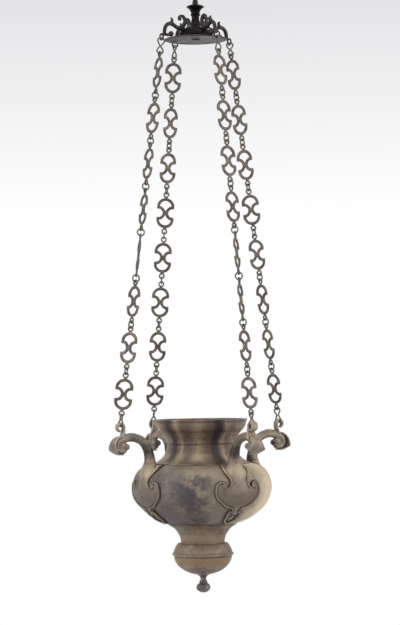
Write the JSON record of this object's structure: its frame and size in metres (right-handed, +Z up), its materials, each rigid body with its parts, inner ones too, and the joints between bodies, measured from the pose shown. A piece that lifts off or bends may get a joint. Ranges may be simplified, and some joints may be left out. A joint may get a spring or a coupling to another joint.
{
  "type": "hanging votive lamp",
  "caption": "Hanging sanctuary lamp: small canopy with scroll brackets, chains of flat pierced links, and a round-bellied vessel with scroll arms and a ball finial.",
  "frame": {"origin": "inside the top of the suspension ring, where a hook bears", "axes": "+Z up along the lamp's axis; the chains hang on -X, -Y, +X and +Y; the suspension ring lies in the XZ plane"},
  "size_m": [0.309, 0.309, 0.9451],
  "materials": {
    "dark_bronze": "near-black aged bronze",
    "grey_bronze": "dull grey-brown bronze",
    "chain_bronze": "dull brown cast bronze",
    "arm_bronze": "worn cast bronze",
    "aged_brass": "worn brass with dark streaks",
    "olive_brass": "olive-brown brass",
    "iron": "dull iron"
  },
  "bodies": {
    "suspension_ring": {"suspension_ring": "dark_bronze"},
    "canopy": {"hanging_rod": "dark_bronze", "canopy_crown": "dark_bronze", "canopy_dish": "grey_bronze", "canopy_brackets": "dark_bronze", "canopy_washer": "dark_bronze"},
    "vessel": {"collar": "aged_brass", "belly": "grey_bronze", "left_arm": "arm_bronze", "front_arm": "arm_bronze", "right_arm": "arm_bronze", "back_arm": "arm_bronze", "arm_screws": "iron", "lower_neck": "aged_brass", "lower_bowl": "olive_brass", "finial": "grey_bronze", "tie_rod": "iron", "tie_nut": "iron"},
    "left_chain": {"left_rings": "chain_bronze", "left_hooks": "chain_bronze"},
    "left_link_1": {"left_link_1": "chain_bronze"},
    "left_link_2": {"left_link_2": "chain_bronze"},
    "left_link_3": {"left_link_3": "chain_bronze"},
    "left_link_4": {"left_link_4": "chain_bronze"},
    "left_link_5": {"left_link_5": "chain_bronze"},
    "left_link_6": {"left_link_6": "chain_bronze"},
    "left_link_7": {"left_link_7": "chain_bronze"},
    "left_link_8": {"left_link_8": "chain_bronze"},
    "front_chain": {"front_rings": "chain_bronze", "front_hooks": "chain_bronze"},
    "front_link_1": {"front_link_1": "chain_bronze"},
    "front_link_2": {"front_link_2": "chain_bronze"},
    "front_link_3": {"front_link_3": "chain_bronze"},
    "front_link_4": {"front_link_4": "chain_bronze"},
    "front_link_5": {"front_link_5": "chain_bronze"},
    "front_link_6": {"front_link_6": "chain_bronze"},
    "front_link_7": {"front_link_7": "chain_bronze"},
    "front_link_8": {"front_link_8": "chain_bronze"},
    "right_chain": {"right_rings": "chain_bronze", "right_hooks": "chain_bronze"},
    "right_link_1": {"right_link_1": "chain_bronze"},
    "right_link_2": {"right_link_2": "chain_bronze"},
    "right_link_3": {"right_link_3": "chain_bronze"},
    "right_link_4": {"right_link_4": "chain_bronze"},
    "right_link_5": {"right_link_5": "chain_bronze"},
    "right_link_6": {"right_link_6": "chain_bronze"},
    "right_link_7": {"right_link_7": "chain_bronze"},
    "right_link_8": {"right_link_8": "chain_bronze"},
    "back_chain": {"back_rings": "chain_bronze", "back_hooks": "chain_bronze"},
    "back_link_1": {"back_link_1": "chain_bronze"},
    "back_link_2": {"back_link_2": "chain_bronze"},
    "back_link_3": {"back_link_3": "chain_bronze"},
    "back_link_4": {"back_link_4": "chain_bronze"},
    "back_link_5": {"back_link_5": "chain_bronze"},
    "back_link_6": {"back_link_6": "chain_bronze"},
    "back_link_7": {"back_link_7": "chain_bronze"},
    "back_link_8": {"back_link_8": "chain_bronze"}
  },
  "joints": [
    {"name": "lamp_swing", "type": "hinge", "parent": "suspension_ring", "child": "canopy", "pos_m": [0, 0, -0.0415], "axis": [1, 0, 0], "range_deg": [-15, 15]},
    {"name": "vessel_turn", "type": "hinge", "parent": "canopy", "child": "vessel", "pos_m": [0, 0, -0.68061], "axis": [0, 0, 1], "range_deg": [-5, 5]},
    {"name": "left_chain_tilt", "type": "hinge", "parent": "canopy", "child": "left_chain", "pos_m": [-0.06, 0, -0.1101], "axis": [-1, 0, 0], "range_deg": [-1.5, 1.5]},
    {"name": "left_link_1_swivel", "type": "hinge", "parent": "left_chain", "child": "left_link_1", "pos_m": [-0.06705, 0, -0.16127], "axis": [-0.1365, 0, -0.9906], "range_deg": [-3, 3]},
    {"name": "left_link_2_swivel", "type": "hinge", "parent": "left_chain", "child": "left_link_2", "pos_m": [-0.07646, 0, -0.22952], "axis": [-0.1365, 0, -0.9906], "range_deg": [-6, 6]},
    {"name": "left_link_3_swivel", "type": "hinge", "parent": "left_chain", "child": "left_link_3", "pos_m": [-0.08586, 0, -0.29778], "axis": [-0.1365, 0, -0.9906], "range_deg": [-9, 9]},
    {"name": "left_link_4_swivel", "type": "hinge", "parent": "left_chain", "child": "left_link_4", "pos_m": [-0.09527, 0, -0.36603], "axis": [-0.1365, 0, -0.9906], "range_deg": [-12, 12]},
    {"name": "left_link_5_swivel", "type": "hinge", "parent": "left_chain", "child": "left_link_5", "pos_m": [-0.10468, 0, -0.43429], "axis": [-0.1365, 0, -0.9906], "range_deg": [-12, 12]},
    {"name": "left_link_6_swivel", "type": "hinge", "parent": "left_chain", "child": "left_link_6", "pos_m": [-0.11408, 0, -0.50254], "axis": [-0.1365, 0, -0.9906], "range_deg": [-9, 9]},
    {"name": "left_link_7_swivel", "type": "hinge", "parent": "left_chain", "child": "left_link_7", "pos_m": [-0.12349, 0, -0.5708], "axis": [-0.1365, 0, -0.9906], "range_deg": [-6, 6]},
    {"name": "left_link_8_swivel", "type": "hinge", "parent": "left_chain", "child": "left_link_8", "pos_m": [-0.13289, 0, -0.63905], "axis": [-0.1365, 0, -0.9906], "range_deg": [-3, 3]},
    {"name": "front_chain_tilt", "type": "hinge", "parent": "canopy", "child": "front_chain", "pos_m": [0, -0.06, -0.1101], "axis": [0, -1, 0], "range_deg": [-1.5, 1.5]},
    {"name": "front_link_1_swivel", "type": "hinge", "parent": "front_chain", "child": "front_link_1", "pos_m": [0, -0.06705, -0.16127], "axis": [0, -0.1365, -0.9906], "range_deg": [-3, 3]},
    {"name": "front_link_2_swivel", "type": "hinge", "parent": "front_chain", "child": "front_link_2", "pos_m": [0, -0.07646, -0.22952], "axis": [0, -0.1365, -0.9906], "range_deg": [-6, 6]},
    {"name": "front_link_3_swivel", "type": "hinge", "parent": "front_chain", "child": "front_link_3", "pos_m": [0, -0.08586, -0.29778], "axis": [0, -0.1365, -0.9906], "range_deg": [-9, 9]},
    {"name": "front_link_4_swivel", "type": "hinge", "parent": "front_chain", "child": "front_link_4", "pos_m": [0, -0.09527, -0.36603], "axis": [0, -0.1365, -0.9906], "range_deg": [-12, 12]},
    {"name": "front_link_5_swivel", "type": "hinge", "parent": "front_chain", "child": "front_link_5", "pos_m": [0, -0.10468, -0.43429], "axis": [0, -0.1365, -0.9906], "range_deg": [-12, 12]},
    {"name": "front_link_6_swivel", "type": "hinge", "parent": "front_chain", "child": "front_link_6", "pos_m": [0, -0.11408, -0.50254], "axis": [0, -0.1365, -0.9906], "range_deg": [-9, 9]},
    {"name": "front_link_7_swivel", "type": "hinge", "parent": "front_chain", "child": "front_link_7", "pos_m": [0, -0.12349, -0.5708], "axis": [0, -0.1365, -0.9906], "range_deg": [-6, 6]},
    {"name": "front_link_8_swivel", "type": "hinge", "parent": "front_chain", "child": "front_link_8", "pos_m": [0, -0.13289, -0.63905], "axis": [0, -0.1365, -0.9906], "range_deg": [-3, 3]},
    {"name": "right_chain_tilt", "type": "hinge", "parent": "canopy", "child": "right_chain", "pos_m": [0.06, 0, -0.1101], "axis": [1, 0, 0], "range_deg": [-1.5, 1.5]},
    {"name": "right_link_1_swivel", "type": "hinge", "parent": "right_chain", "child": "right_link_1", "pos_m": [0.06705, 0, -0.16127], "axis": [0.1365, 0, -0.9906], "range_deg": [-3, 3]},
    {"name": "right_link_2_swivel", "type": "hinge", "parent": "right_chain", "child": "right_link_2", "pos_m": [0.07646, 0, -0.22952], "axis": [0.1365, 0, -0.9906], "range_deg": [-6, 6]},
    {"name": "right_link_3_swivel", "type": "hinge", "parent": "right_chain", "child": "right_link_3", "pos_m": [0.08586, 0, -0.29778], "axis": [0.1365, 0, -0.9906], "range_deg": [-9, 9]},
    {"name": "right_link_4_swivel", "type": "hinge", "parent": "right_chain", "child": "right_link_4", "pos_m": [0.09527, 0, -0.36603], "axis": [0.1365, 0, -0.9906], "range_deg": [-12, 12]},
    {"name": "right_link_5_swivel", "type": "hinge", "parent": "right_chain", "child": "right_link_5", "pos_m": [0.10468, 0, -0.43429], "axis": [0.1365, 0, -0.9906], "range_deg": [-12, 12]},
    {"name": "right_link_6_swivel", "type": "hinge", "parent": "right_chain", "child": "right_link_6", "pos_m": [0.11408, 0, -0.50254], "axis": [0.1365, 0, -0.9906], "range_deg": [-9, 9]},
    {"name": "right_link_7_swivel", "type": "hinge", "parent": "right_chain", "child": "right_link_7", "pos_m": [0.12349, 0, -0.5708], "axis": [0.1365, 0, -0.9906], "range_deg": [-6, 6]},
    {"name": "right_link_8_swivel", "type": "hinge", "parent": "right_chain", "child": "right_link_8", "pos_m": [0.13289, 0, -0.63905], "axis": [0.1365, 0, -0.9906], "range_deg": [-3, 3]},
    {"name": "back_chain_tilt", "type": "hinge", "parent": "canopy", "child": "back_chain", "pos_m": [0, 0.06, -0.1101], "axis": [0, 1, 0], "range_deg": [-1.5, 1.5]},
    {"name": "back_link_1_swivel", "type": "hinge", "parent": "back_chain", "child": "back_link_1", "pos_m": [0, 0.06705, -0.16127], "axis": [0, 0.1365, -0.9906], "range_deg": [-3, 3]},
    {"name": "back_link_2_swivel", "type": "hinge", "parent": "back_chain", "child": "back_link_2", "pos_m": [0, 0.07646, -0.22952], "axis": [0, 0.1365, -0.9906], "range_deg": [-6, 6]},
    {"name": "back_link_3_swivel", "type": "hinge", "parent": "back_chain", "child": "back_link_3", "pos_m": [0, 0.08586, -0.29778], "axis": [0, 0.1365, -0.9906], "range_deg": [-9, 9]},
    {"name": "back_link_4_swivel", "type": "hinge", "parent": "back_chain", "child": "back_link_4", "pos_m": [0, 0.09527, -0.36603], "axis": [0, 0.1365, -0.9906], "range_deg": [-12, 12]},
    {"name": "back_link_5_swivel", "type": "hinge", "parent": "back_chain", "child": "back_link_5", "pos_m": [0, 0.10468, -0.43429], "axis": [0, 0.1365, -0.9906], "range_deg": [-12, 12]},
    {"name": "back_link_6_swivel", "type": "hinge", "parent": "back_chain", "child": "back_link_6", "pos_m": [0, 0.11408, -0.50254], "axis": [0, 0.1365, -0.9906], "range_deg": [-9, 9]},
    {"name": "back_link_7_swivel", "type": "hinge", "parent": "back_chain", "child": "back_link_7", "pos_m": [0, 0.12349, -0.5708], "axis": [0, 0.1365, -0.9906], "range_deg": [-6, 6]},
    {"name": "back_link_8_swivel", "type": "hinge", "parent": "back_chain", "child": "back_link_8", "pos_m": [0, 0.13289, -0.63905], "axis": [0, 0.1365, -0.9906], "range_deg": [-3, 3]}
  ],
  "couplings": [
    {"joint": "left_chain_tilt", "follows": "vessel_turn", "ratio": 0.23865},
    {"joint": "left_link_1_swivel", "follows": "left_link_4_swivel", "ratio": 0.25},
    {"joint": "left_link_2_swivel", "follows": "left_link_4_swivel", "ratio": 0.5},
    {"joint": "left_link_3_swivel", "follows": "left_link_4_swivel", "ratio": 0.75},
    {"joint": "left_link_5_swivel", "follows": "left_link_4_swivel", "ratio": 1},
    {"joint": "left_link_6_swivel", "follows": "left_link_4_swivel", "ratio": 0.75},
    {"joint": "left_link_7_swivel", "follows": "left_link_4_swivel", "ratio": 0.5},
    {"joint": "left_link_8_swivel", "follows": "left_link_4_swivel", "ratio": 0.25},
    {"joint": "front_chain_tilt", "follows": "vessel_turn", "ratio": 0.23865},
    {"joint": "front_link_1_swivel", "follows": "front_link_4_swivel", "ratio": 0.25},
    {"joint": "front_link_2_swivel", "follows": "front_link_4_swivel", "ratio": 0.5},
    {"joint": "front_link_3_swivel", "follows": "front_link_4_swivel", "ratio": 0.75},
    {"joint": "front_link_5_swivel", "follows": "front_link_4_swivel", "ratio": 1},
    {"joint": "front_link_6_swivel", "follows": "front_link_4_swivel", "ratio": 0.75},
    {"joint": "front_link_7_swivel", "follows": "front_link_4_swivel", "ratio": 0.5},
    {"joint": "front_link_8_swivel", "follows": "front_link_4_swivel", "ratio": 0.25},
    {"joint": "right_chain_tilt", "follows": "vessel_turn", "ratio": 0.23865},
    {"joint": "right_link_1_swivel", "follows": "right_link_4_swivel", "ratio": 0.25},
    {"joint": "right_link_2_swivel", "follows": "right_link_4_swivel", "ratio": 0.5},
    {"joint": "right_link_3_swivel", "follows": "right_link_4_swivel", "ratio": 0.75},
    {"joint": "right_link_5_swivel", "follows": "right_link_4_swivel", "ratio": 1},
    {"joint": "right_link_6_swivel", "follows": "right_link_4_swivel", "ratio": 0.75},
    {"joint": "right_link_7_swivel", "follows": "right_link_4_swivel", "ratio": 0.5},
    {"joint": "right_link_8_swivel", "follows": "right_link_4_swivel", "ratio": 0.25},
    {"joint": "back_chain_tilt", "follows": "vessel_turn", "ratio": 0.23865},
    {"joint": "back_link_1_swivel", "follows": "back_link_4_swivel", "ratio": 0.25},
    {"joint": "back_link_2_swivel", "follows": "back_link_4_swivel", "ratio": 0.5},
    {"joint": "back_link_3_swivel", "follows": "back_link_4_swivel", "ratio": 0.75},
    {"joint": "back_link_5_swivel", "follows": "back_link_4_swivel", "ratio": 1},
    {"joint": "back_link_6_swivel", "follows": "back_link_4_swivel", "ratio": 0.75},
    {"joint": "back_link_7_swivel", "follows": "back_link_4_swivel", "ratio": 0.5},
    {"joint": "back_link_8_swivel", "follows": "back_link_4_swivel", "ratio": 0.25}
  ]
}
